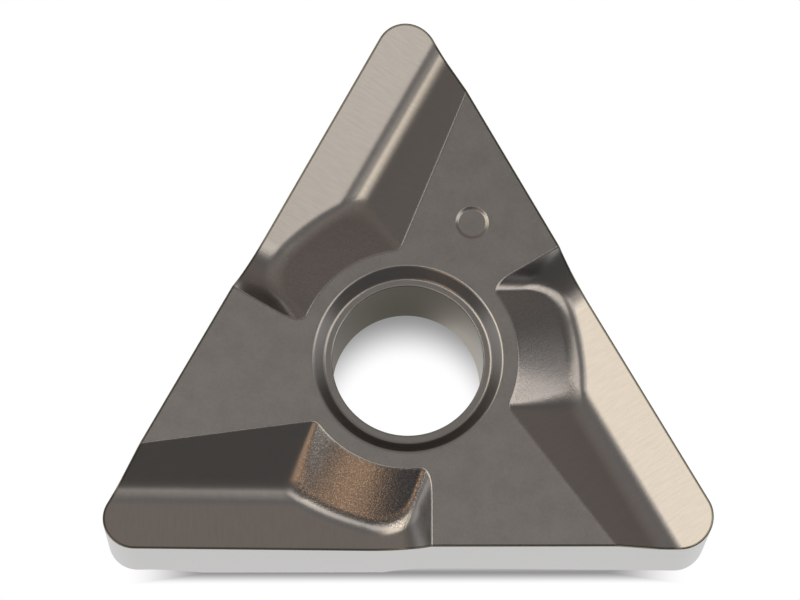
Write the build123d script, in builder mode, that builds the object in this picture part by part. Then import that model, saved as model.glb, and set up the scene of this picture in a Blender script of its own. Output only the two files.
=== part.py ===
from build123d import *

import os
from math import cos, radians, sin, tan

# Triangular carbide cutting insert with a one-way chip groove at each corner of both faces.
# The bore runs along Z and the origin is the middle of the bore. One corner points along +Y.
# Lengths are in millimetres and angles in degrees.

# Outline, the same from the lower face to the upper face
INSCRIBED_DIAMETER = 9.525
THICKNESS = 4.76
NOSE_RADIUS = 0.8
CORNERS = 3

# Bore, with a chamfer and a narrow flat ledge at each mouth, and a small break on their edges
BORE_DIAMETER = 3.81
LEDGE_WIDTH = 0.195
MOUTH_CHAMFER = 0.275
MOUTH_EDGE_BREAK = 0.04
LEDGE_CORNER_ROUND = 0.1

# Chip groove across its length: a rake plane that falls inward from the cutting edge,
# a round valley at the offset from the edge, and a back wall that rises to the face
RAKE_ANGLE = 17.0
WALL_ANGLE = 33.0
VALLEY_OFFSET = 1.5
VALLEY_RADIUS = 0.9

# Chip groove along its length: the cutting edge lies deeper the farther it is from its corner
CORNER_DROP = 0.14
DESCENT_ANGLE = 4.8

# Closed end of the groove: a slanted wall, with a round foot that is wide at the flank
# and narrows evenly towards the middle of the insert
END_WALL_ANGLE = 55.0
END_WALL_PLACE = 0.58
FLANK_FOOT_RADIUS = 1.85
MIDDLE_FOOT_RADIUS = 0.4

# Conical boss that carries the flat land round the bore
LAND_DIAMETER = 5.58
BOSS_ANGLE = 33.0
BOSS_FOOT_RADIUS = 0.6

# Rounding of all edges of the flanks
EDGE_ROUND = 0.04

# Shallow index dot on the upper face, beside the corner that points along +Y
DOT_DIAMETER = 0.84
DOT_WALL_WIDTH = 0.08
DOT_DEPTH = 0.04
DOT_X = 1.63
DOT_Y = 3.49

# How far a cutting shape reaches past the outline and over the face
OVERSHOOT = 0.8

# How closely directions are compared when faces are picked
CLOSENESS = 0.001

inscribed_radius = INSCRIBED_DIAMETER / 2
half_edge = inscribed_radius * tan(radians(180 / CORNERS))
half_thickness = THICKNESS / 2
bore_radius = BORE_DIAMETER / 2
ledge_radius = bore_radius + LEDGE_WIDTH
mouth_radius = ledge_radius + MOUTH_CHAMFER
ledge_height = half_thickness - MOUTH_CHAMFER
land_radius = LAND_DIAMETER / 2
rake_slope = tan(radians(RAKE_ANGLE))
wall_slope = tan(radians(WALL_ANGLE))
descent = tan(radians(DESCENT_ANGLE))
end_slope = tan(radians(END_WALL_ANGLE))
boss_slope = tan(radians(BOSS_ANGLE))
groove_start = -half_edge - OVERSHOOT
groove_top = half_thickness + OVERSHOOT


def rake_height(along, inward):
    """Height of the rake plane, by the place along the edge and the distance inward from it."""
    edge_drop = CORNER_DROP + descent * (along + half_edge)
    return half_thickness - edge_drop - rake_slope * inward


def end_profile(inward):
    """Groove seen from the flank, at one distance inward: floor, round foot and end wall."""
    foot_change = MIDDLE_FOOT_RADIUS - FLANK_FOOT_RADIUS
    foot_radius = FLANK_FOOT_RADIUS + foot_change * inward / inscribed_radius
    fall = half_thickness - rake_height(0, inward)
    foot_x = (end_slope * END_WALL_PLACE - fall) / (end_slope + descent)
    foot_z = half_thickness + end_slope * (foot_x - END_WALL_PLACE)
    foot_reach = foot_radius * tan(radians(END_WALL_ANGLE + DESCENT_ANGLE) / 2)
    floor_end = (
        foot_x - foot_reach * cos(radians(DESCENT_ANGLE)),
        foot_z + foot_reach * sin(radians(DESCENT_ANGLE)),
    )
    wall_start = (
        foot_x + foot_reach * cos(radians(END_WALL_ANGLE)),
        foot_z + foot_reach * sin(radians(END_WALL_ANGLE)),
    )
    floor_start = (groove_start, rake_height(groove_start, inward))
    wall_top = (END_WALL_PLACE + OVERSHOOT / end_slope, groove_top)
    with BuildSketch(Plane.XZ.offset(inscribed_radius - inward)) as profile:
        with BuildLine():
            floor = Line(floor_start, floor_end)
            TangentArc(floor_end, wall_start, tangent=floor % 1)
            Polyline(wall_start, wall_top, (groove_start, groove_top), floor_start)
        make_face()
    return profile.sketch.face()


# Closed end: the two profiles are joined by straight rulings, so the foot narrows inward
with BuildPart() as closed_end:
    loft([end_profile(-OVERSHOOT), end_profile(inscribed_radius + OVERSHOOT)], ruled=True)

# One groove, along the front edge from the left corner: the cross-section follows the sloping
# valley, stops at the closed end and goes round the boss
section_plane = Plane(
    origin=(-half_edge, -inscribed_radius, half_thickness - CORNER_DROP),
    x_dir=(0, 1, 0),
    z_dir=(1, 0, -descent),
)
with BuildPart() as groove:
    with BuildSketch(section_plane.offset(-OVERSHOOT)):
        with BuildLine():
            lip = (-OVERSHOOT, OVERSHOOT * rake_slope)
            valley = (VALLEY_OFFSET, -VALLEY_OFFSET * rake_slope)
            wall_top = (VALLEY_OFFSET + (THICKNESS - valley[1]) / wall_slope, THICKNESS)
            Polyline(lip, valley, wall_top, (-OVERSHOOT, THICKNESS), close=True)
        make_face()
        fillet(vertices().sort_by(Axis.Y)[0], VALLEY_RADIUS)
    extrude(amount=2 * half_edge)
    add(closed_end.part, mode=Mode.INTERSECT)
    with Locations((0, 0, groove_top - half_thickness)):
        Cone(
            bottom_radius=land_radius + (THICKNESS - OVERSHOOT) / boss_slope,
            top_radius=land_radius - OVERSHOOT / boss_slope,
            height=THICKNESS,
            mode=Mode.SUBTRACT,
        )
    boss_face = faces().filter_by(GeomType.CONE)[0]
    fillet(boss_face.edges().filter_by(GeomType.BSPLINE), BOSS_FOOT_RADIUS)

with BuildPart() as insert:
    # Outline with its round corners
    with BuildSketch(Plane.XY.offset(-half_thickness)):
        RegularPolygon(inscribed_radius, CORNERS, major_radius=False, rotation=90)
        fillet(vertices(), NOSE_RADIUS)
    extrude(amount=THICKNESS)

    # Grooves of the upper face, and of the lower face when the insert is turned about Y
    with PolarLocations(0, CORNERS):
        add(groove.part, mode=Mode.SUBTRACT)
    with Locations(Location((0, 0, 0), (0, 180, 0))):
        with PolarLocations(0, CORNERS):
            add(groove.part, mode=Mode.SUBTRACT)

    # Rounding of the edges where the flanks meet the faces and the grooves
    flanks = faces().filter_by(lambda face: abs(face.normal_at().Z) < CLOSENESS)
    upright = flanks.edges().filter_by(Axis.Z)
    fillet(flanks.edges() - upright, EDGE_ROUND)

    # Bore with its two mouths
    with BuildSketch(Plane.XZ):
        with BuildLine():
            Polyline(
                (0, -half_thickness),
                (mouth_radius, -half_thickness),
                (ledge_radius, -ledge_height),
                (bore_radius, -ledge_height),
                (bore_radius, ledge_height),
                (ledge_radius, ledge_height),
                (mouth_radius, half_thickness),
                (0, half_thickness),
                close=True,
            )
        make_face()
        fillet(vertices().group_by(Axis.X)[2], LEDGE_CORNER_ROUND)
    revolve(axis=Axis.Z, mode=Mode.SUBTRACT)
    rings = edges().filter_by(GeomType.CIRCLE).filter_by(lambda ring: ring.is_closed)
    by_radius = rings.group_by(SortBy.RADIUS)
    chamfer(by_radius[0] + by_radius[-1], MOUTH_EDGE_BREAK)

    # Index dot
    with Locations((DOT_X, DOT_Y, half_thickness - DOT_DEPTH / 2)):
        Cone(
            bottom_radius=DOT_DIAMETER / 2 - DOT_WALL_WIDTH,
            top_radius=DOT_DIAMETER / 2,
            height=DOT_DEPTH,
            mode=Mode.SUBTRACT,
        )

insert.part.label = "insert"
os.makedirs("parts", exist_ok=True)
export_step(insert.part, "parts/insert.step")
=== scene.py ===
from math import cos, pi, radians, sin, tan

import bmesh
import bpy
import numpy as np
from bpy.props import FloatProperty, FloatVectorProperty, PointerProperty
from bpy.types import Operator, Panel, PropertyGroup
from mathutils import Matrix, Vector


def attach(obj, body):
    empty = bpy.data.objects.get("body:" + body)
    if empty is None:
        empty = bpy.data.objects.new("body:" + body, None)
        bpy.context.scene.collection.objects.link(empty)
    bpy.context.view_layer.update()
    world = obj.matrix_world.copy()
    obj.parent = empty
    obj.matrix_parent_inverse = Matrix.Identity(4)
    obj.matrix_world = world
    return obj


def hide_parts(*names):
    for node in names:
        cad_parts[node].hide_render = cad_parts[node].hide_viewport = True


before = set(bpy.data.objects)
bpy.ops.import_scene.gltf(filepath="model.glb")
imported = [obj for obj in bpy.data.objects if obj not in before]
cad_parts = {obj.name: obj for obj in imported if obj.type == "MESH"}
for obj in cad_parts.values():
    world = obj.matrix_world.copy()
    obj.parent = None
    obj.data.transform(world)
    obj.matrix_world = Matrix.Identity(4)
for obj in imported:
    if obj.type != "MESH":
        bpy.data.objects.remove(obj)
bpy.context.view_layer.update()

bl_info = {
    "name": "Carbide Insert",
    "version": (1, 0, 0),
    "blender": (4, 5, 0),
    "location": "View3D > Sidebar > Insert",
    "description": "Triangular carbide cutting insert with its chip grooves, finish and studio",
    "category": "Mesh",
}

MM = 0.001
MICRON = MM / 1000
CORNERS = 3
TURN = 2 * pi / CORNERS

# Finishes of the piece, in the order of its materials
FACE, GROOVE, FLANK, BORE, HONED, WALL = range(6)

# Halvings of a span in the search for a root, and steps over which slopes are taken and compared
HALVINGS = 44
SLOPE_STEP = MICRON
SIDE_STEP = 10 * MICRON

# Points nearer to each other than this become one, and edges sharper than this stay sharp
WELD_DISTANCE = 0.2 * MICRON
SHARP_ANGLE = radians(22.0)

# Mesh of a groove on each face: density of its columns, and number of its rows
UPPER_MESH = (2.0, 60)
LOWER_MESH = (1.0, 32)
NOSE_COLUMNS = 25

# Rows across the rounding of a flank's edge, and points across a rounded corner of a profile
EDGE_ROWS = 5
CORNER_POINTS = 5

# Rows of a groove's rounded border, in widths of the rounding from the sharp border
BORDER_ROWS = (-1, -0.6, -0.2, 0.2, 0.6, 1, 1.6)

# Places in half flanks from the middle of the flank: where the columns start to fan out at the
# corner, and where they start to lean there and at the closed end
FAN_START = -0.7
CORNER_LEAN_START = -0.5
END_LEAN_START = -0.15
END_LEAN_POWER = 1.2

# Columns at density 1 in the runs between those places and the crease, and in the fan
RUN_COLUMNS = (18, 18, 22, 50)
FAN_COLUMNS = 26

# Reach of the columns' bend at the crease of the boss, in half flanks, and points on the crease
BEND_REACH = 0.15
CREASE_POINTS = 160

# Where the crease is looked for, in half flanks, and how far inward it and the groove's border
# are followed, as shares of the way to the middle
CREASE_SPAN = (-1.0, -0.1)
CREASE_END = 0.75
BORDER_END = 0.8

# Directions at the groove's corner: to the middle of its arc, to where the arc meets the groove's
# own flank and the next one, and along that next flank
NOSE_MIDDLE = radians(210.0)
OWN_FLANK_END = radians(270.0)
NEXT_FLANK_END = radians(150.0)
NEXT_FLANK_RUN = np.array([cos(radians(60.0)), sin(radians(60.0))])
NEXT_FLANK_NORMAL = np.array([sin(radians(60.0)), -cos(radians(60.0))])

# Flat land next to each rounding, as a share of the edge rounding
MARGIN_SHARE = 0.3

# The foot of the boss narrows by this share, over this share of the way to the middle
FOOT_NARROWING = 0.65
NARROWING_REACH = 0.7

# Grains and their painted glints fade over this share of the boss's foot, and reach past its
# crease by this share
GRAIN_FADE = 0.5
GRAIN_OVERLAP = 0.2

# How strongly the grains and their painted glints show in each groove, the front one first. The
# painted glints are strongest in the front groove, where the warm front card's light falls.
GRAIN_AND_GLINT_STRENGTHS = (1.0, 0.35, 0.35)

# The flat faces are cut apart from the bore to the flanks: direction of the first cut
CUT_DIRECTION = radians(-55.0)

# Steps round a third of the bore's mouth and round half of the index dot
MOUTH_STEPS = 96
DOT_STEPS = 24

# Size of specks and clouds, height of the specks, and ranges of noise in which both grow light
SPECK_SIZE = 0.05 * MM
CLOUD_SIZE = 0.6 * MM
SPECK_DEPTH = 0.0006 * MM
SPECK_RANGE = (0.25, 0.75)
CLOUD_RANGE = (0.3, 0.7)

# Brush marks: direction in the groove, width as a share of the length, number to a millimetre,
# range of noise in which they grow light, and how much lighter or darker they are
BRUSH_TURN = 0.35
BRUSH_STRETCH = 0.12
BRUSH_SCALE = 16.0
BRUSH_RANGE = (0.3, 0.7)
BRUSH_CONTRAST = 0.03

# Painted glints on the boss, lighter and darker spots of its colour: number to a grain, range of
# noise in which they grow light, and how much lighter or darker they are. The grains are glossier
# than the groove by the last value.
GLINT_SCALE = 1.4
GLINT_RANGE = (0.42, 0.7)
GLINT_CONTRAST = 0.3
GRAIN_GLOSS = 0.05

# Lamps: direction from the insert, width and height in metres, and tint. The setting with the
# same name gives the brightness.
LAMPS = {
    "top_lamp": ((-0.22, -0.15, 0.965), 0.2, 0.14, (1.0, 0.95, 0.9)),
    "left_lamp": ((-0.585, 0.05, 0.75), 0.28, 0.25, (1.0, 0.915, 0.76)),
    "right_lamp": ((0.6, -0.12, 0.78), 0.22, 0.38, (1.0, 0.937, 0.855)),
    "front_card": ((-0.4, -0.73, 0.555), 0.15, 0.15, (1.0, 0.64, 0.38)),
    "side_card": ((-0.74, -0.42, 0.52), 0.12, 0.13, (1.0, 0.94, 0.88)),
    "right_card": ((0.9, -0.12, 0.42), 0.14, 0.13, (1.0, 0.92, 0.85)),
}
LAMP_DISTANCE = 0.4

# Camera: width of its sensor in millimetres, and the nearest thing it sees, in metres
SENSOR_WIDTH = 36.0
NEAREST_VIEW = 0.01

# Floor: how far it reaches and how far it lies below the insert
FLOOR_REACH = 0.6
FLOOR_GAP = 2 * MICRON

# Painted contact shadow on the floor along the flanks: its start in widths of the shade, and the
# range over which it fades at the corners in half flanks
SHADE_START = -0.06
SHADE_FADE = (0.6, 0.88)

# Painted contact shadow on the floor at the back of the bore, in bore radii: shift of the clear
# disc to the front, and ranges over which the disc and the shadow end
DISC_SHIFT = 0.45
DISC_FADE = (0.85, 1.5)
BORE_SHADE_END = (1.3, 1.4)

# Painted reflection for the bore's wall: share of the floor's white that mirrors see under the
# bore, what both sides and the right add over ranges in bore radii, and the range past which they
# see it all
MIRROR_SHARE = 0.26
MIRROR_SIDES = (0.25, 0.1, 0.9)
MIRROR_RIGHT = (0.7, 0.0, 0.8)
MIRROR_END = (0.9, 1.1)

# Sky: brightness all round, what the rear, the high rear and both sides add, and the rear's tint
SKY_LEVEL = 0.17
SKY_REAR = 0.16
SKY_REAR_HIGH = 0.15
SKY_SIDES = 0.85
SKY_REAR_TINT = (1.0, 0.88, 0.81)

# Ranges of a direction's parts over which these and the sky overhead are added
REAR_BACK = (0.25, 0.72)
REAR_UP = (0.2, 0.7)
SIDES_ASIDE = (0.86, 0.98)
OVERHEAD_UP = (0.55, 0.95)
OVERHEAD_BACK = (-0.35, 0.15)

WHITE = (1.0, 1.0, 1.0)
BLACK = (0.0, 0.0, 0.0)


def length(name, millimetres, description):
    """A length that the user can change, given in millimetres."""
    return FloatProperty(
        name=name, description=description, default=millimetres * MM, unit="LENGTH", precision=5
    )


def angle(name, degrees, description):
    """An angle that the user can change, given in degrees."""
    return FloatProperty(
        name=name, description=description, default=radians(degrees), subtype="ANGLE"
    )


def amount(name, value, description):
    """A plain number that the user can change."""
    return FloatProperty(name=name, description=description, default=value)


def colour(name, rgb, description):
    """A colour that the user can change."""
    return FloatVectorProperty(
        name=name, description=description, default=rgb, size=3, subtype="COLOR", min=0, max=1
    )


def place(name, millimetres, description):
    """A place that the user can change, given in millimetres."""
    return FloatVectorProperty(
        name=name,
        description=description,
        default=[value * MM for value in millimetres],
        subtype="TRANSLATION",
        unit="LENGTH",
    )


def direction(name, xyz, description):
    """A direction that the user can change."""
    return FloatVectorProperty(
        name=name, description=description, default=xyz, subtype="DIRECTION"
    )


class InsertSizes(PropertyGroup):
    """Real sizes of the insert."""

    inscribed_diameter: length("Inscribed circle", 9.525, "Circle that touches the three flanks")
    thickness: length("Thickness", 4.76, "From the lower face to the upper face")
    nose_radius: length("Nose radius", 0.8, "Radius of each corner, seen from above")
    bore_diameter: length("Bore", 3.81, "Diameter of the bore")
    ledge_width: length("Bore ledge", 0.195, "Flat ring between the bore and its chamfer")
    mouth_chamfer: length("Mouth chamfer", 0.275, "Chamfer at each mouth of the bore")
    mouth_round: length("Mouth rounding", 0.04, "Reach of the roundings of the mouth's edges")
    ledge_round: length("Ledge rounding", 0.042, "Reach of the hollow round outside the ledge")
    rake_angle: angle("Rake", 17.0, "Fall of the rake face from the cutting edge")
    wall_angle: angle("Back wall", 33.0, "Rise of the groove's back wall")
    valley_offset: length("Valley offset", 1.5, "From the cutting edge to the valley's middle")
    valley_radius: length("Valley radius", 0.9, "Radius of the valley's floor")
    corner_drop: length("Corner drop", 0.14, "Depth of the cutting edge at the sharp corner")
    descent_angle: angle("Descent", 4.8, "Fall of the cutting edge away from its corner")
    end_wall_angle: angle("End wall", 55.0, "Rise of the wall that closes the groove")
    end_wall_place: length("End wall place", 0.58, "From the flank's middle to the wall's top")
    flank_foot: length("Flank foot radius", 1.85, "Radius at the end wall's foot, at the flank")
    middle_foot: length("Middle foot radius", 0.4, "Radius at the end wall's foot, at the bore")
    land_diameter: length("Bore land", 5.58, "Flat land round the bore, on its boss")
    boss_angle: angle("Boss", 33.0, "Slope of the boss round the bore")
    boss_foot: length("Boss foot", 0.27, "Height over which the boss blends into the groove")
    boss_corner: length("Boss corner", 0.45, "Height over which it blends into the end wall")
    edge_round: length("Edge rounding", 0.045, "Rounding of the edges at the flanks")
    border_round: length("Border rounding", 0.025, "Rounding where the grooves leave the face")
    dot_diameter: length("Index dot", 0.84, "Diameter of the index dot")
    dot_wall: length("Index dot wall", 0.08, "Width of the dot's slanted wall")
    dot_depth: length("Index dot depth", 0.04, "Depth of the index dot")
    dot_x: length("Index dot X", 1.63, "Place of the index dot along X")
    dot_y: length("Index dot Y", 3.49, "Place of the index dot along Y")


class InsertFinish(PropertyGroup):
    """Colours and gloss of the carbide."""

    carbide: colour("Carbide", (0.27, 0.255, 0.245), "Colour of the faces and grooves")
    flank: colour("Flanks", (0.35, 0.34, 0.335), "Colour of the finely ground flanks")
    dull: colour("Dull carbide", (0.12, 0.113, 0.092), "Colour of bore wall and honed edges")
    wall_tint: colour("Bore tint", (0.88, 0.83, 0.76), "Tint of the bore's wall when grazed")
    face_roughness: amount("Face roughness", 0.3, "Roughness of the ground faces")
    groove_roughness: amount("Groove roughness", 0.25, "Roughness of the brushed grooves")
    flank_roughness: amount("Flank roughness", 0.25, "Roughness of the flanks")
    bore_roughness: amount("Bore roughness", 0.28, "Roughness of the bore and its mouths")
    grain: length("Grain", 0.04, "Size of the pressed grains on the boss")
    grain_depth: length("Grain depth", 0.005, "Height of those grains")
    brush_depth: length("Brush depth", 0.0006, "Height of the brush marks in the grooves")


class StudioSettings(PropertyGroup):
    """Camera, lamps and floor."""

    eye: place("Camera", (-1.673, -25.471, 149.2), "Place of the camera")
    gaze: direction("Gaze", (0.0099, 0.1807, -0.9835), "Direction in which the camera looks")
    across: direction("Across", (1.0, -0.0027, 0.0096), "Direction to the picture's right")
    lens: amount("Lens", 266.83, "Focal length in millimetres on a 36 mm wide sensor")
    left_lamp: amount("Left lamp", 2.7, "Brightness of the left lamp, where 1 is white")
    right_lamp: amount("Right lamp", 1.8, "Brightness of the right lamp")
    top_lamp: amount("Top lamp", 1.6, "Brightness of the small lamp overhead")
    front_card: amount("Front card", 1.2, "Brightness of the warm card at the front left")
    side_card: amount("Side card", 0.9, "Brightness of the grey card at the left")
    right_card: amount("Right card", 0.95, "Brightness of the low card at the right")
    overhead: amount("Overhead", 0.14, "Brightness added to the sky overhead")
    floor: colour("Floor", (0.35, 0.35, 0.35), "Colour of the floor as the lamps light it")
    # Painted contact shadow on the floor: its brightness and its width
    shade: amount("Shade", 0.28, "Brightness of the contact shadow")
    shade_width: length("Shade width", 0.31, "How far the contact shadow leaves the flanks")


def smooth(share):
    """An even S from 0 at 0 to 1 at 1, and level on both sides."""
    share = np.clip(share, 0, 1)
    return share**2 * (3 - 2 * share)


def scaled(shares, size):
    """Shares of a size as lengths."""
    return [share * size for share in shares]


def unit(vectors):
    """Vectors scaled to length one."""
    return vectors / np.linalg.norm(vectors, axis=-1, keepdims=True)


def run_lengths(points):
    """Distances of points along their path, from the first one."""
    steps = np.linalg.norm(np.diff(points, axis=0), axis=1)
    return np.concatenate([[0], np.cumsum(steps)])


def root(function, low, high):
    """Where a rising function passes zero between low and high, by halving the span."""
    for _ in range(HALVINGS):
        middle = (low + high) / 2
        below = function(middle) < 0
        low = np.where(below, middle, low)
        high = np.where(below, high, middle)
    return (low + high) / 2


def rounded_valley(place, corner, low, fall, climb, radius):
    """Height of a falling and a climbing slope that meet at (corner, low), joined by an arc."""
    reach = radius * tan((fall + climb) / 2)
    start = corner - reach * cos(fall)
    end = corner + reach * cos(climb)
    middle = start + radius * sin(fall)
    level = low + reach * sin(fall) + radius * cos(fall)
    arc = level - np.sqrt(np.maximum(radius**2 - (place - middle) ** 2, 0))
    falling = low + (corner - place) * tan(fall)
    climbing = low + (place - corner) * tan(climb)
    return np.where(place < start, falling, np.where(place > end, climbing, arc))


def soft_max(first, second, width):
    """The larger height, with a parabola where the two differ by less than the width."""
    near = np.clip(1 - np.abs(first - second) / width, 0, 1)
    return np.maximum(first, second) + width * near**2 / 4


def rounded_path(corners, reaches, margin):
    """A path of straight runs with rounded inner corners.

    Each is a parabola of the given reach, and one more point lies a margin outside it on each
    side.
    """
    corners = np.array(corners)
    points = [corners[:1]]
    share = np.linspace(0, 1, CORNER_POINTS)[:, None]
    for before, corner, after, reach in zip(corners[:-2], corners[1:-1], corners[2:], reaches):
        back = unit(before - corner)
        ahead = unit(after - corner)
        points += [
            (corner + back * (reach + margin))[None],
            corner + back * reach * (1 - share) ** 2 + ahead * reach * share**2,
            (corner + ahead * (reach + margin))[None],
        ]
    return np.concatenate(points + [corners[-1:]])


def ring(centre, radius, first, sweep, count):
    """Points of an arc in plan, evenly spaced over the sweep from the first direction."""
    turn = first + np.linspace(0, sweep, count)
    return np.array(centre) + radius * np.stack([np.cos(turn), np.sin(turn)], axis=-1)


class Groove:
    """One chip groove in plan.

    Along runs on the flank from its middle, negative to the open corner, and inward from the
    flank to the bore. Heights count from the face.
    """

    def __init__(self, sizes):
        self.sizes = sizes
        self.reach_in = sizes.inscribed_diameter / 2
        self.half_edge = self.reach_in * tan(pi / CORNERS)
        self.descent = tan(sizes.descent_angle)
        self.margin = MARGIN_SHARE * sizes.edge_round
        self.inset = sizes.edge_round + self.margin
        nose_along = sizes.nose_radius / tan(pi / 2 / CORNERS) - self.half_edge
        self.nose = np.array([nose_along, sizes.nose_radius])

    def edge(self, along):
        """Height of the cutting edge before it is rounded."""
        return -self.sizes.corner_drop - self.descent * (along + self.half_edge)

    def wall(self, along, inward):
        """Height of the back wall's plane."""
        s = self.sizes
        low = -tan(s.rake_angle) * s.valley_offset
        return self.edge(along) + low + tan(s.wall_angle) * (inward - s.valley_offset)

    def boss(self, along, inward):
        """Height of the boss's cone."""
        s = self.sizes
        radius = np.hypot(along, self.reach_in - inward)
        return (s.land_diameter / 2 - radius) * tan(s.boss_angle)

    def raw(self, along, inward):
        """Height of the groove's own surfaces, also past its border.

        It is the swept cross-section or the closed end, whichever is higher, with the cone of the
        boss blended to both: less towards the back wall, and more up the end wall.
        """
        s = self.sizes
        low = -tan(s.rake_angle) * s.valley_offset
        section = self.edge(along) + rounded_valley(
            inward, s.valley_offset, low, s.rake_angle, s.wall_angle, s.valley_radius
        )
        steep = tan(s.end_wall_angle)
        depth = s.corner_drop + self.descent * self.half_edge + tan(s.rake_angle) * inward
        foot = (steep * s.end_wall_place - depth) / (steep + self.descent)
        foot_low = steep * (foot - s.end_wall_place)
        radius = s.flank_foot + (s.middle_foot - s.flank_foot) * inward / self.reach_in
        end = rounded_valley(along, foot, foot_low, s.descent_angle, s.end_wall_angle, radius)
        boss = self.boss(along, inward)
        narrowing = FOOT_NARROWING * smooth(inward / (NARROWING_REACH * self.reach_in))
        section_width = s.boss_foot * (1 - narrowing)
        climb = smooth((along - foot) / (s.end_wall_place - foot))
        end_width = s.boss_foot + (s.boss_corner - s.boss_foot) * climb
        return np.maximum(soft_max(boss, section, section_width), soft_max(boss, end, end_width))

    def gradient(self, along, inward):
        """Rise of the raw height along and inward, by differences over a tiny step."""
        step = SLOPE_STEP
        rise_along = self.raw(along + step, inward) - self.raw(along - step, inward)
        rise_inward = self.raw(along, inward + step) - self.raw(along, inward - step)
        return np.stack([rise_along, rise_inward], axis=-1) / (2 * step)

    def height(self, plan):
        """Height of the finished face: the groove, 0 outside it, and a parabola between them."""
        along, inward = plan[..., 0], plan[..., 1]
        raw = self.raw(along, inward)
        width = self.sizes.border_round * np.linalg.norm(self.gradient(along, inward), axis=-1)
        rounded = -((width - raw) ** 2) / (4 * width)
        return np.where(raw < -width, raw, np.where(raw > width, 0, rounded))

    def grains(self, plan):
        """How strongly the pressed grains and their painted glints show, by how far the boss is
        above all other walls.
        """
        s = self.sizes
        along, inward = plan[..., 0], plan[..., 1]
        boss = self.boss(along, inward)
        rake = self.edge(along) - tan(s.rake_angle) * inward
        end = tan(s.end_wall_angle) * (along - s.end_wall_place)
        over_walls = boss - np.maximum(self.wall(along, inward), end)
        above = np.minimum(boss - rake, over_walls + GRAIN_OVERLAP * s.boss_foot)
        return smooth(above / (GRAIN_FADE * s.boss_foot))

    def nose_arc(self, last, radius):
        """Points on the corner's arc from its middle to the last direction, and normals."""
        turn = np.linspace(NOSE_MIDDLE, last, NOSE_COLUMNS)
        ray = np.stack([np.cos(turn), np.sin(turn)], axis=-1)
        return self.nose + radius * ray, -ray

    def crease(self):
        """Line where the boss meets the back wall: distances inward, and places along."""
        s = self.sizes
        arc_reach = s.valley_radius * tan((s.rake_angle + s.wall_angle) / 2)
        valley_end = s.valley_offset + arc_reach * cos(s.wall_angle)
        inward = np.linspace(valley_end, CREASE_END * self.reach_in, CREASE_POINTS)
        span = [np.full(inward.shape, share * self.half_edge) for share in CREASE_SPAN]
        return inward, root(lambda a: self.boss(a, inward) - self.wall(a, inward), *span)

    def main_columns(self, density, rows, first_head):
        """Columns from the fan to the closed end: their grid, heads, and steps outward there.

        Each runs from a foot on the flank to a head on the groove's border, leans over at both
        ends and follows the crease of the boss.
        """
        s = self.sizes
        inset = self.inset
        crease_inward, crease_along = self.crease()
        bend_place = crease_along[0]
        fan_foot = FAN_START * self.half_edge
        corner_lean = CORNER_LEAN_START * self.half_edge
        end_lean = END_LEAN_START * self.half_edge
        stop = s.end_wall_place - s.border_round
        counts = [int(count * density) for count in RUN_COLUMNS]
        feet = np.concatenate([
            np.linspace(fan_foot, corner_lean, counts[0], endpoint=False),
            np.linspace(corner_lean, bend_place, counts[1], endpoint=False),
            np.linspace(bend_place, end_lean, counts[2], endpoint=False),
            np.linspace(end_lean, stop, counts[3]),
        ])
        first_lean = (first_head[0] - fan_foot) / (first_head[1] - inset)
        lean = first_lean * np.clip((corner_lean - feet) / (corner_lean - fan_foot), 0, 1) ** 2
        lean = lean + np.clip((feet - end_lean) / (stop - end_lean), 0, 1) ** END_LEAN_POWER
        bend = smooth(1 - np.abs(feet - bend_place) / (BEND_REACH * self.half_edge))

        def along_at(inward):
            shift = np.interp(inward, crease_inward, crease_along, left=bend_place) - bend_place
            return feet + bend * shift + lean * (inward - inset)

        span = [np.full(feet.shape, end) for end in (inset, BORDER_END * self.reach_in)]
        top = root(lambda inward: self.raw(along_at(inward), inward), *span)
        heads = np.stack([along_at(top), top], axis=-1)
        heads[0] = first_head
        heads[-1] = (s.end_wall_place, inset)

        # One step outward at each head, between the uphill directions on both sides of it
        uphill = unit(self.gradient(*heads.T))
        side = np.stack([uphill[:, 1], -uphill[:, 0]], axis=-1) * SIDE_STEP
        before = unit(self.gradient(*(heads - side).T))
        after = unit(self.gradient(*(heads + side).T))
        step = (before + after) / (1 + np.sum(before * after, axis=-1, keepdims=True))
        step[0] = NEXT_FLANK_RUN / (unit(self.gradient(*first_head)) @ NEXT_FLANK_RUN)
        step[-1] = (1, 0)

        tops = heads - s.border_round * step
        share = np.linspace(0, 1, rows)[None, :]
        inward = inset + share * (tops[:, 1:2] - inset)
        along = np.stack([along_at(column) for column in inward.T], axis=-1)
        along = along + share * (tops[:, :1] - along[:, -1:])
        return np.stack([along, inward], axis=-1), heads, step

    def layout(self, density, rows):
        """Plan of the groove's grid, which fans out at the corner, and of its rounded border.

        Returns both, the outline of the face beside them with its inward normals, and the span
        of the corner's arc in it.
        """
        s = self.sizes
        inner_radius = s.nose_radius - self.inset
        lower, lower_normal = self.nose_arc(OWN_FLANK_END, inner_radius)
        upper, upper_normal = self.nose_arc(NEXT_FLANK_END, inner_radius)
        up = root(lambda run: self.raw(*(upper[-1] + run * NEXT_FLANK_RUN)), 0, self.reach_in)
        first_head = upper[-1] + up * NEXT_FLANK_RUN
        main, heads, step = self.main_columns(density, rows, first_head)

        side_share = np.linspace(0, 1, int(FAN_COLUMNS * density))[1:-1, None]
        fan_foot = np.array([FAN_START * self.half_edge, self.inset])
        side_feet = lower[-1] + side_share * (fan_foot - lower[-1])
        side_tops = upper[-1] + side_share * (main[0, -1] - upper[-1])
        fan_feet = np.concatenate([lower, side_feet])
        fan_tops = np.concatenate([upper, side_tops])
        share = np.linspace(0, 1, rows)[None, :, None]
        fan = fan_feet[:, None] + share * (fan_tops - fan_feet)[:, None]
        grid = np.concatenate([fan, main])

        offsets = s.border_round * np.array(BORDER_ROWS)
        border = heads[:, None] + offsets[None, :, None] * step[:, None]

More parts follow.
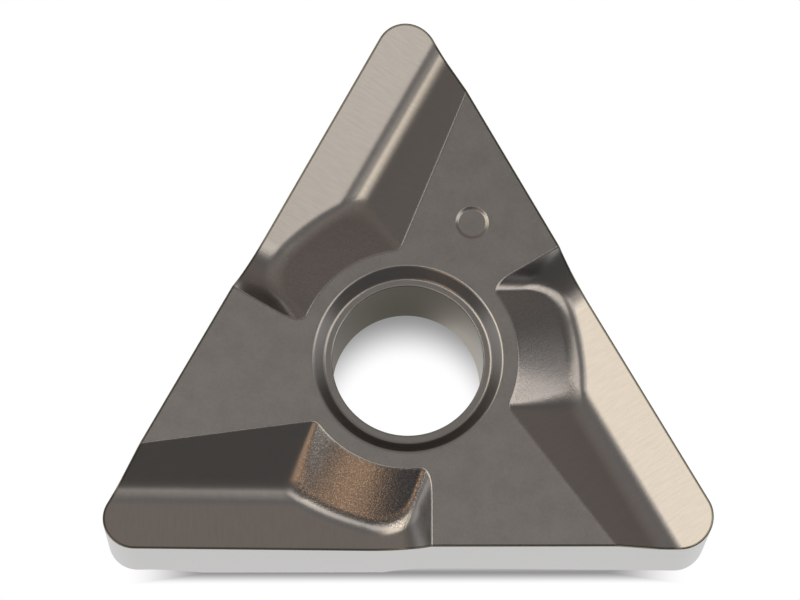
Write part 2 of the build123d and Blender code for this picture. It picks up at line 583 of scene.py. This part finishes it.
        left = np.concatenate([border[0, ::-1], side_tops[::-1]])
        right = np.concatenate([side_feet, main[:-1, 0], border[-1]])
        outline = np.concatenate([left, upper[:0:-1], lower, right])
        normals = np.concatenate([
            np.broadcast_to(NEXT_FLANK_NORMAL, left.shape),
            upper_normal[:0:-1],
            lower_normal,
            np.broadcast_to([0, 1], right.shape),
        ])
        arc = (len(left), len(left) + 2 * NOSE_COLUMNS - 1)
        return grid, border, outline, normals, arc


class Shell:
    """Collects the surfaces of one piece: grids of quads and flat outlines.

    Each has a finish, flat surface coordinates in millimetres and a strength of its grains and
    painted glints.
    """

    def __init__(self):
        self.points = []
        self.faces = []
        self.finishes = []
        self.flat = []
        self.grains = []
        self.count = 0

    def grid(self, points, flat, finish, grains=0.0):
        """A grid of points, shape (columns, rows, 3), joined by quads."""
        columns, rows = points.shape[:2]
        index = self.count + np.arange(columns * rows).reshape(columns, rows)
        around = [index[:-1, :-1], index[1:, :-1], index[1:, 1:], index[:-1, 1:]]
        quads = np.stack(around, axis=-1).reshape(-1, 4).tolist()
        grains = np.broadcast_to(grains, points.shape[:2]).ravel()
        self.store(points.reshape(-1, 3), flat.reshape(-1, 2), quads, finish, grains)

    def outline(self, points, flat, finish):
        """One flat face inside a closed outline."""
        face = list(range(self.count, self.count + len(points)))
        self.store(points, flat, [face], finish, np.zeros(len(points)))

    def store(self, points, flat, faces, finish, grains):
        """Keeps points with their flat coordinates and grains, and faces of one finish."""
        self.points.append(points)
        self.grains.append(grains)
        self.flat.append(flat / MM)
        self.faces += faces
        self.finishes += [finish] * len(faces)
        self.count += len(points)

    def build(self, name, materials):
        """Makes the mesh, closes its seams and points its faces outwards."""
        mesh = bpy.data.meshes.new(name)
        mesh.from_pydata(np.concatenate(self.points), [], self.faces)
        finishes = np.array(self.finishes, dtype=np.int32)
        mesh.polygons.foreach_set("material_index", finishes)
        corners = np.empty(len(mesh.loops), dtype=np.int32)
        mesh.loops.foreach_get("vertex_index", corners)
        layer = mesh.uv_layers.new(name="surface")
        layer.uv.foreach_set("vector", np.concatenate(self.flat)[corners].ravel())
        # The grains attribute masks both the grain bumps and the painted glints on the boss
        grains = mesh.attributes.new("grains", "FLOAT", "POINT")
        grains.data.foreach_set("value", np.concatenate(self.grains))
        work = bmesh.new()
        work.from_mesh(mesh)
        bmesh.ops.remove_doubles(work, verts=work.verts, dist=WELD_DISTANCE)
        bmesh.ops.recalc_face_normals(work, faces=work.faces)
        outlines = [face for face in work.faces if len(face.verts) > 4]
        bmesh.ops.triangulate(work, faces=outlines)
        open_edges = sum(1 for edge in work.edges if len(edge.link_faces) != 2)
        print(name, "faces", len(work.faces), "open edges", open_edges)
        work.to_mesh(mesh)
        work.free()
        mesh.shade_smooth()
        mesh.set_sharp_from_angle(angle=SHARP_ANGLE)
        for material in materials:
            mesh.materials.append(material)
        piece = bpy.data.objects.new(name, mesh)
        bpy.context.scene.collection.objects.link(piece)
        return piece


def to_side(points, lower):
    """Points of the upper side, carried to the lower one by half a turn about Y if asked."""
    return points * np.array([-1, 1, -1]) if lower else points


def turned(plan, heights, groove, sector, lower):
    """Plan points and heights of one groove, carried to its flank and face."""
    x = plan[..., 0]
    y = plan[..., 1] - groove.reach_in
    z = heights + groove.sizes.thickness / 2
    turn = sector * TURN
    around = [x * cos(turn) - y * sin(turn), x * sin(turn) + y * cos(turn), z + 0 * x]
    return to_side(np.stack(around, axis=-1), lower)


def lathe(shell, profile, finish, first, count, centre=(0, 0), lower=False):
    """A profile of radii and heights turned about a vertical axis, in even steps."""
    turn = first + np.linspace(0, 2 * pi, count + 1)[:, None]
    radius, height = profile.T
    x = centre[0] + radius * np.cos(turn)
    y = centre[1] + radius * np.sin(turn)
    flat = np.stack([turn * radius.max() + 0 * radius, run_lengths(profile) + 0 * turn], axis=-1)
    shell.grid(to_side(np.stack([x, y, height + 0 * turn], axis=-1), lower), flat, finish)


def edge_rows(groove, outline, normals):
    """Plan and heights of the rows across the rounded edge, from the face down to the flank."""
    rounding = groove.sizes.edge_round
    foot = outline - groove.inset * normals
    at_face = groove.height(foot + rounding * normals)
    sharp = groove.height(foot)
    plan = [outline]
    heights = [groove.height(outline)]
    for q in np.linspace(0, 1, EDGE_ROWS):
        p = 1 - q
        plan.append(foot + rounding * p**2 * normals)
        heights.append(at_face * p**2 + sharp * 2 * q * p + (sharp - rounding) * q**2)
    plan.append(foot)
    heights.append(sharp - rounding - groove.margin)
    return np.stack(plan, axis=1), np.stack(heights, axis=1)


def dot_half(groove, sector, ahead):
    """Half of the index dot's rim in the plan of one sector, on the way to the bore or back."""
    s = groove.sizes
    turn = -sector * TURN
    x = s.dot_x * cos(turn) - s.dot_y * sin(turn)
    y = s.dot_x * sin(turn) + s.dot_y * cos(turn) + groove.reach_in
    first = CUT_DIRECTION if ahead else CUT_DIRECTION - TURN + pi
    return ring((x, y), s.dot_diameter / 2 + groove.margin, first, -pi, DOT_STEPS + 1)


def mouth_start(groove):
    """Radius at which the flat face ends and the bore's mouth starts."""
    s = groove.sizes
    chamfer_start = s.bore_diameter / 2 + s.ledge_width + s.mouth_chamfer
    return chamfer_start + s.mouth_round + groove.margin


def add_side(shell, groove, mesh, lower):
    """The grooves, the flat face and the rounded edges of the upper or the lower side.

    Returns the lowest row of each sector's edge and the span of its corner arc.
    """
    grid, border, outline, normals, arc = groove.layout(*mesh)
    grid_height = groove.height(grid)
    border_height = groove.height(border)
    border_height[:, -2:] = 0
    grains = groove.grains(grid)

    # The cut ahead of the groove, and the one before it, which is a third of a turn back
    cut = np.array([(groove.reach_in - groove.inset) / tan(-CUT_DIRECTION), groove.inset])
    back = np.array([[cos(TURN), sin(TURN)], [-sin(TURN), cos(TURN)]])
    middle = np.array([0, groove.reach_in])
    previous = back @ (cut - middle) + middle
    outline = np.concatenate([[previous], outline, [cut]])
    normals = np.concatenate([normals[:1], normals, normals[-1:]])
    arc = (arc[0] + 1, arc[1] + 1)
    edge_plan, edge_height = edge_rows(groove, outline, normals)
    run = run_lengths(outline)[:, None]
    edge_flat = np.stack([run + 0 * edge_height, edge_height], axis=-1)
    mouth = ring(middle, mouth_start(groove), CUT_DIRECTION, -TURN, MOUTH_STEPS + 1)

    hems = []
    for sector, strength in enumerate(GRAIN_AND_GLINT_STRENGTHS):
        place = (groove, sector, lower)
        shell.grid(turned(grid, grid_height, *place), grid, GROOVE, strength * grains)
        shell.grid(turned(border, border_height, *place), border, GROOVE)
        edge = turned(edge_plan, edge_height, *place)
        shell.grid(edge[:, :EDGE_ROWS], edge_flat[:, :EDGE_ROWS], HONED)
        shell.grid(edge[:, EDGE_ROWS - 1:], edge_flat[:, EDGE_ROWS - 1:], FLANK)
        hems.append(edge[:, -1])
        face = [[previous], border[:, -1], [cut], mouth]
        if not lower and sector == 1:
            face.insert(3, dot_half(groove, sector, True))
        if not lower and sector == 2:
            face.append(dot_half(groove, sector, False))
        face = np.concatenate(face)
        shell.outline(turned(face, np.zeros(len(face)), *place), face, FACE)
    return hems, arc


def add_flanks(shell, sizes, upper, upper_arc, lower, lower_arc):
    """The round corners and flat flanks between the lowest rows of both sides' edges."""
    for sector in range(CORNERS):
        nose = upper[sector][upper_arc[0]:upper_arc[1]]
        below = lower[(1 - sector) % CORNERS][lower_arc[0]:lower_arc[1]][::-1]
        wall = np.stack([nose, below], axis=1)
        turn = np.linspace(0, TURN * sizes.nose_radius, len(nose))[:, None]
        shell.grid(wall, np.stack([turn + 0 * wall[..., 2], wall[..., 2]], axis=-1), FLANK)
        here = upper[sector][upper_arc[1] - 1:]
        there = upper[(sector + 1) % CORNERS][:upper_arc[0] + 1]
        mirror = -sector % CORNERS
        under_here = lower[mirror][lower_arc[1] - 1:]
        under_there = lower[(mirror + 1) % CORNERS][:lower_arc[0] + 1]
        loop = np.concatenate([here, there[1:], under_here, under_there[1:]])
        run = loop[:, 0] * cos(sector * TURN) + loop[:, 1] * sin(sector * TURN)
        shell.outline(loop, np.stack([run, loop[:, 2]], axis=-1), FLANK)


def add_bore(shell, groove):
    """The bore's wall and its two mouths, each with a rounded chamfer and ledge."""
    s = groove.sizes
    bore = s.bore_diameter / 2
    ledge = bore + s.ledge_width
    mouth = ledge + s.mouth_chamfer
    top = s.thickness / 2
    low = top - s.mouth_chamfer
    corners = [(mouth_start(groove), top), (mouth, top), (ledge, low), (bore, low), (bore, 0)]
    profile = rounded_path(corners, [s.mouth_round, s.ledge_round, s.mouth_round], groove.margin)
    profile = profile[1:-1]
    wall = np.array([profile[-1], profile[-1] * (1, -1)])
    count = CORNERS * MOUTH_STEPS
    lathe(shell, profile, BORE, CUT_DIRECTION, count)
    lathe(shell, profile, BORE, pi - CUT_DIRECTION, count, lower=True)
    lathe(shell, wall, WALL, CUT_DIRECTION, count)


def add_dot(shell, groove):
    """The inside of the shallow index dot."""
    s = groove.sizes
    rim = s.dot_diameter / 2
    base = rim - s.dot_wall
    top = s.thickness / 2
    low = top - s.dot_depth
    half = 0.5 * groove.margin
    corners = [(rim + groove.margin, top), (rim, top), (base, low), (0, low)]
    profile = rounded_path(corners, [half, half], half)[1:]
    first = CUT_DIRECTION + TURN
    lathe(shell, profile, FACE, first, 2 * DOT_STEPS, centre=(s.dot_x, s.dot_y))


def insert_shell(sizes):
    """The whole insert as one closed shell."""
    shell = Shell()
    groove = Groove(sizes)
    upper, upper_arc = add_side(shell, groove, UPPER_MESH, False)
    lower, lower_arc = add_side(shell, groove, LOWER_MESH, True)
    add_flanks(shell, sizes, upper, upper_arc, lower, lower_arc)
    add_bore(shell, groove)
    add_dot(shell, groove)
    return shell


class Value:
    """A number that changes over the surface. Arithmetic on it adds Math nodes."""

    def __init__(self, nodes, socket):
        self.nodes = nodes
        self.socket = socket

    def maths(self, operation, *others):
        """This value, with others if there are any, through one Math node."""
        sockets = dict(enumerate((self, *others)))
        return self.nodes.add("ShaderNodeMath", {"operation": operation}, sockets)

    def __add__(self, other):
        return self.maths("ADD", other)

    def __sub__(self, other):
        return self.maths("SUBTRACT", other)

    def __rsub__(self, other):
        return self * -1.0 + other

    def __mul__(self, other):
        return self.maths("MULTIPLY", other)

    __radd__ = __add__
    __rmul__ = __mul__

    def between(self, low, high):
        """0 below low, 1 above high and smooth between."""
        sockets = {"Value": self, "From Min": low, "From Max": high}
        return self.nodes.add("ShaderNodeMapRange", {"interpolation_type": "SMOOTHSTEP"}, sockets)


class Nodes:
    """The nodes of one material or world."""

    def __init__(self, tree):
        self.tree = tree
        tree.nodes.clear()

    def add(self, kind, settings=None, sockets=None, output=0):
        """One node with its settings and the values or links of its sockets.

        Returns an output as a Value, or the node itself if it has none.
        """
        node = self.tree.nodes.new(kind)
        for name, value in (settings or {}).items():
            setattr(node, name, value)
        for name, value in (sockets or {}).items():
            if isinstance(value, Value):
                self.tree.links.new(value.socket, node.inputs[name])
            else:
                node.inputs[name].default_value = value
        return Value(self, node.outputs[output]) if len(node.outputs) else node

    def place(self, kind="Object"):
        """The place on the object, or the direction in the sky where the kind is Generated."""
        return self.add("ShaderNodeTexCoord", output=kind)

    def axes(self, vector):
        """The three parts of a vector."""
        return [self.add("ShaderNodeSeparateXYZ", {}, {0: vector}, axis) for axis in range(3)]

    def seen_by(self, ray):
        """1 for one kind of ray and 0 for the others."""
        return self.add("ShaderNodeLightPath", output=f"Is {ray} Ray")

    def mix(self, share, first, second):
        """Mix of two shaders by a share."""
        return self.add("ShaderNodeMixShader", {}, {0: share, 1: first, 2: second})

    def blend(self, share, first, second):
        """Mix of two colours by a share, through the colour sockets of the node."""
        sockets = {"Factor": share, 6: first, 7: second}
        return self.add("ShaderNodeMix", {"data_type": "RGBA"}, sockets, output=2)

    def noise(self, place, scale, detail=2.0, roughness=0.6):
        """Smooth noise from about 0 to 1."""
        sockets = {"Vector": place, "Scale": scale, "Detail": detail, "Roughness": roughness}
        return self.add("ShaderNodeTexNoise", {}, sockets)

    def glow(self, strength=1.0, kind="ShaderNodeEmission"):
        """White light, where strength 1 is white in the picture."""
        return self.add(kind, {}, {"Color": rgba(WHITE), "Strength": strength})


def rgba(colour):
    """A colour with full alpha."""
    return (*colour, 1.0)


def shades(base, share):
    """A darker and a lighter version of a colour."""
    return [rgba(part * factor for part in base) for factor in (1 - share, 1 + share)]


def new_nodes(name):
    """A new material and its emptied nodes."""
    material = bpy.data.materials.new(name)
    material.use_nodes = True
    return material, Nodes(material.node_tree)


def carbide_shader(nodes, tone, roughness, height, depth=1.0, grazing=WHITE):
    """The metal of all finishes: bumps by height times depth, and a tint at low angles."""
    bump = nodes.add("ShaderNodeBump", {}, {"Strength": 1.0, "Distance": depth, "Height": height})
    shader = nodes.add("ShaderNodeBsdfPrincipled", {}, {
        "Base Color": tone,
        "Metallic": 1.0,
        "Roughness": roughness,
        "Specular Tint": rgba(grazing),
        "Normal": bump,
    })
    nodes.add("ShaderNodeOutputMaterial", {}, {"Surface": shader})


def ground_finish(name, base, roughness, contrast, grazing=WHITE):
    """Evenly ground carbide, with faint clouds and fine specks."""
    material, nodes = new_nodes(name)
    place = nodes.place()
    specks = nodes.noise(place, 1 / SPECK_SIZE)
    clouds = nodes.noise(place, 1 / CLOUD_SIZE, detail=3.0)
    lightness = specks.between(*SPECK_RANGE) * 0.5 + clouds.between(*CLOUD_RANGE) * 0.5
    tone = nodes.blend(lightness, *shades(base, contrast))
    carbide_shader(nodes, tone, roughness, specks, SPECK_DEPTH, grazing)
    return material


def groove_finish(name, finish):
    """Pressed grooves: faint brush marks, and grains on the boss with painted glints."""
    material, nodes = new_nodes(name)
    place = nodes.place()
    grain_and_glint_mask = nodes.add("ShaderNodeAttribute", {"attribute_name": "grains"}, output="Fac")
    marks = nodes.add("ShaderNodeMapping", {"vector_type": "POINT"}, {
        "Vector": nodes.add("ShaderNodeUVMap", {"uv_map": "surface"}),
        "Rotation": (0.0, 0.0, BRUSH_TURN),
        "Scale": (1.0, BRUSH_STRETCH, 1.0),
    })
    brushed = nodes.noise(marks, BRUSH_SCALE, detail=3.0)
    grains = nodes.noise(place, 1 / finish.grain)
    glints = nodes.noise(place, GLINT_SCALE / finish.grain, detail=1.0, roughness=0.5)
    tone = nodes.blend(brushed.between(*BRUSH_RANGE), *shades(finish.carbide, BRUSH_CONTRAST))
    # Painted glints: spots of lighter and darker colour on the boss, standing in for light
    # glinting off its grains
    painted_glints = nodes.blend(glints.between(*GLINT_RANGE), *shades(finish.carbide, GLINT_CONTRAST))
    tone = nodes.blend(grain_and_glint_mask, tone, painted_glints)
    height = grain_and_glint_mask * finish.grain_depth * grains + finish.brush_depth * brushed
    carbide_shader(nodes, tone, finish.groove_roughness - grain_and_glint_mask * GRAIN_GLOSS, height)
    return material


class BuildInsert(Operator):
    """Build the carbide insert with its grooves, bore and finish"""

    bl_idname = "insert.build_insert"
    bl_label = "Insert"

    def execute(self, context):
        sizes = context.scene.insert_sizes
        finish = context.scene.insert_finish
        face, flank, bore = finish.face_roughness, finish.flank_roughness, finish.bore_roughness
        materials = [
            ground_finish("carbide_face", finish.carbide, face, contrast=0.1),
            groove_finish("carbide_groove", finish),
            ground_finish("carbide_flank", finish.flank, flank, contrast=0.02),
            ground_finish("carbide_bore", finish.carbide, bore, contrast=0.04),
            ground_finish("honed_edge", finish.dull, flank, contrast=0.04),
            ground_finish("bore_wall", finish.dull, bore, contrast=0.04, grazing=finish.wall_tint),
        ]
        piece = insert_shell(sizes).build("insert_surface", materials)
        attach(piece, "root")
        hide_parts("insert")
        return {"FINISHED"}


def add_lamp(name, direction, width, height, brightness, tint):
    """A rectangular lamp in a direction from the insert, facing it.

    Its brightness is what a mirror shows of it, where 1 is white.
    """
    light = bpy.data.lights.new(name, "AREA")
    light.shape = "RECTANGLE"
    light.size = width
    light.size_y = height
    light.energy = brightness * pi * width * height
    light.color = tint
    lamp = bpy.data.objects.new(name, light)
    bpy.context.scene.collection.objects.link(lamp)
    toward = Vector(direction).normalized()
    facing = toward.to_track_quat("Z", "Y").to_matrix().to_4x4()
    lamp.matrix_world = Matrix.Translation(toward * LAMP_DISTANCE) @ facing


class BuildStudio(Operator):
    """Build the floor, the lamps, the sky and the camera"""

    bl_idname = "insert.build_studio"
    bl_label = "Studio"

    def execute(self, context):
        scene = context.scene
        studio = scene.insert_studio
        sizes = scene.insert_sizes
        self.add_camera(scene, studio)
        self.add_floor(studio, sizes)
        self.add_sky(scene, studio)
        for name, (direction, width, height, tint) in LAMPS.items():
            add_lamp(name, direction, width, height, getattr(studio, name), tint)
        scene.view_settings.view_transform = "Standard"
        return {"FINISHED"}

    def add_camera(self, scene, studio):
        """Camera from its place, its gaze and the picture's right-hand direction."""
        back = -Vector(studio.gaze).normalized()
        across = Vector(studio.across)
        across = (across - across.dot(back) * back).normalized()
        turn = Matrix((across, back.cross(across), back)).transposed().to_4x4()
        data = bpy.data.cameras.new("camera")
        data.lens = studio.lens
        data.sensor_width = SENSOR_WIDTH
        data.clip_start = NEAREST_VIEW
        camera = bpy.data.objects.new("camera", data)
        scene.collection.objects.link(camera)
        camera.matrix_world = Matrix.Translation(studio.eye) @ turn
        scene.camera = camera

    def add_floor(self, studio, sizes):
        """A wide sheet, white for the eye but for a painted contact shadow of the insert, and for
        mirrors but for a painted dimmer share under the bore.
        """
        across = np.linspace(-FLOOR_REACH, FLOOR_REACH, 3)
        x, y = np.meshgrid(across, across, indexing="ij")
        z = 0 * x - sizes.thickness / 2 - FLOOR_GAP
        shell = Shell()
        shell.grid(np.stack([x, y, z], axis=-1), np.stack([x, y], axis=-1), 0)

        material, nodes = new_nodes("floor_sheet")
        x, y = nodes.axes(nodes.place())[:2]
        bore = sizes.bore_diameter / 2
        outside = self.clear_of_painted_flank_shadow(x, y, studio, sizes)
        inside = self.clear_of_painted_bore_shadow(x, y, bore)
        mirrored = nodes.seen_by("Glossy").maths("MAXIMUM", nodes.seen_by("Transmission"))
        mirrored = self.painted_reflection_share(x, y, bore) * mirrored
        seen = nodes.seen_by("Camera").maths("MAXIMUM", mirrored)
        sheet = nodes.add("ShaderNodeBsdfDiffuse", {}, {"Color": rgba(studio.floor)})
        bright = nodes.mix(seen, sheet, nodes.glow())
        # Painted contact shadow: the floor glows only dimly where it is not clear of the flanks or
        # the bore, except for mirrors outside the bore
        clear = inside.maths("MINIMUM", outside).maths("MAXIMUM", mirrored)
        whole = nodes.mix(clear, nodes.glow(studio.shade), bright)
        nodes.add("ShaderNodeOutputMaterial", {}, {"Surface": whole})
        floor = shell.build("floor", [material])

    def clear_of_painted_flank_shadow(self, x, y, studio, sizes):
        """0 in the painted contact shadow along the flanks, and 1 away from it."""
        reach = sizes.inscribed_diameter / 2
        half_edge = reach * tan(pi / CORNERS)
        fade = scaled(SHADE_FADE, half_edge)
        start = SHADE_START * studio.shade_width
        clear = []
        for turn in (0, TURN, -TURN):
            out = x * sin(turn) - y * cos(turn) - reach
            aside = x * cos(turn) + y * sin(turn)
            near = out.maths("ABSOLUTE").between(start, studio.shade_width)
            clear.append(near.maths("MAXIMUM", aside.maths("ABSOLUTE").between(*fade)))
        front, right, left = clear
        return front.maths("MINIMUM", right.maths("MINIMUM", left))

    def clear_of_painted_bore_shadow(self, x, y, bore):
        """0 in the painted contact shadow at the back of the bore, and 1 away from it."""
        moved = y + DISC_SHIFT * bore
        disc = 1 - (x * x + moved * moved).maths("SQRT").between(*scaled(DISC_FADE, bore))
        past_shade = (x * x + y * y).maths("SQRT").between(*scaled(BORE_SHADE_END, bore))
        return disc.maths("MAXIMUM", past_shade)

    def painted_reflection_share(self, x, y, bore):
        """Painted reflection: share of the floor's white that mirrors see, less under the bore and
        more towards its sides and its right, which lightens the bore's wall there.
        """
        side_share, *side_radii = MIRROR_SIDES
        right_share, *right_radii = MIRROR_RIGHT
        at_sides = side_share * x.maths("ABSOLUTE").between(*scaled(side_radii, bore))
        at_right = right_share * x.between(*scaled(right_radii, bore))
        in_bore = (MIRROR_SHARE + at_sides + at_right).maths("MINIMUM", 1.0)
        past_bore = (x * x + y * y).maths("SQRT").between(*scaled(MIRROR_END, bore))
        return past_bore.maths("MAXIMUM", in_bore)

    def add_sky(self, scene, studio):
        """Soft room light by direction, and white where the camera sees the sky."""
        world = bpy.data.worlds.new("studio_sky")
        scene.world = world
        world.use_nodes = True
        nodes = Nodes(world.node_tree)
        x, y, z = nodes.axes(nodes.place("Generated"))
        high = z.between(*OVERHEAD_UP) * y.between(*OVERHEAD_BACK)
        rear = y.between(*REAR_BACK)
        rear_level = SKY_REAR + SKY_REAR_HIGH * z.between(*REAR_UP)
        sides = x.maths("ABSOLUTE").between(*SIDES_ASIDE)
        level = SKY_LEVEL + rear_level * rear + studio.overhead * high + SKY_SIDES * sides
        tint = nodes.blend(rear, rgba(WHITE), rgba(SKY_REAR_TINT))
        tone = nodes.blend(level, rgba(BLACK), tint)
        sky = nodes.add("ShaderNodeBackground", {}, {"Color": tone, "Strength": 1.0})
        both = nodes.mix(nodes.seen_by("Camera"), sky, nodes.glow(kind="ShaderNodeBackground"))
        nodes.add("ShaderNodeOutputWorld", {}, {"Surface": both})


class InsertPanel(Panel):
    """Sizes, finish and studio of the carbide insert"""

    bl_idname = "VIEW3D_PT_carbide_insert"
    bl_label = "Carbide Insert"
    bl_space_type = "VIEW_3D"
    bl_region_type = "UI"
    bl_category = "Insert"

    def draw(self, context):
        scene = context.scene
        groups = (
            (scene.insert_sizes, BuildInsert),
            (scene.insert_finish, None),
            (scene.insert_studio, BuildStudio),
        )
        for group, operator in groups:
            box = self.layout.box()
            for name in group.__annotations__:
                box.prop(group, name)
            if operator:
                box.operator(operator.bl_idname)


CLASSES = (InsertSizes, InsertFinish, StudioSettings, BuildInsert, BuildStudio, InsertPanel)


def register():
    for kind in CLASSES:
        bpy.utils.register_class(kind)
    bpy.types.Scene.insert_sizes = PointerProperty(type=InsertSizes)
    bpy.types.Scene.insert_finish = PointerProperty(type=InsertFinish)
    bpy.types.Scene.insert_studio = PointerProperty(type=StudioSettings)


def unregister():
    del bpy.types.Scene.insert_studio
    del bpy.types.Scene.insert_finish
    del bpy.types.Scene.insert_sizes
    for kind in reversed(CLASSES):
        bpy.utils.unregister_class(kind)


def main():
    register()
    bpy.ops.insert.build_insert()
    bpy.ops.insert.build_studio()
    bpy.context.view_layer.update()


if __name__ == "__main__":
    main()
